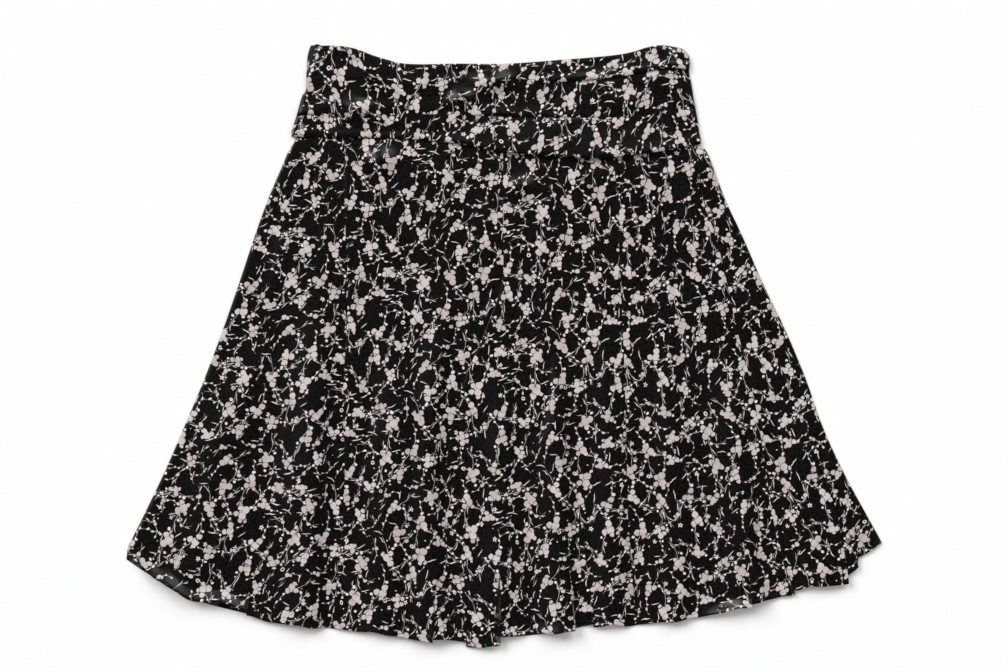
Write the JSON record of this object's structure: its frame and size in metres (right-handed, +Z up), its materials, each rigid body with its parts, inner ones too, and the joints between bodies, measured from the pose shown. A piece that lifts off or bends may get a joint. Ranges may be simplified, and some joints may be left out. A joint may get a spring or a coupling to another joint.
{
  "type": "a-line skirt",
  "caption": "Gored A-line skirt laid flat, with a deep tucked waistband, soft folds running to a curved hem and a closed side zip.",
  "frame": {"origin": "centre of the laid-out skirt's box, on the surface that it lies on", "axes": "+X across the skirt to the right as it is seen from above, +Y towards the waist, +Z up off the surface"},
  "size_m": [0.7252, 0.5752, 0.0088],
  "materials": {
    "printed_cloth": "fine soft woven cloth, near-black ground with a close print of pale pinkish blossom sprays",
    "printed_band_cloth": "the same printed cloth, tucked over a stay",
    "zip_tape": "black zip tape with fine plastic teeth"
  },
  "bodies": {
    "root": {"front_gore_left": "printed_cloth", "front_gore_inner_left": "printed_cloth", "front_gore_centre": "printed_cloth", "front_gore_inner_right": "printed_cloth", "front_gore_right": "printed_cloth", "back_gore_left": "printed_cloth", "back_gore_centre": "printed_cloth", "back_gore_right": "printed_cloth", "waistband_front": "printed_band_cloth", "waistband_back": "printed_band_cloth", "side_zip": "zip_tape"}
  },
  "joints": []
}
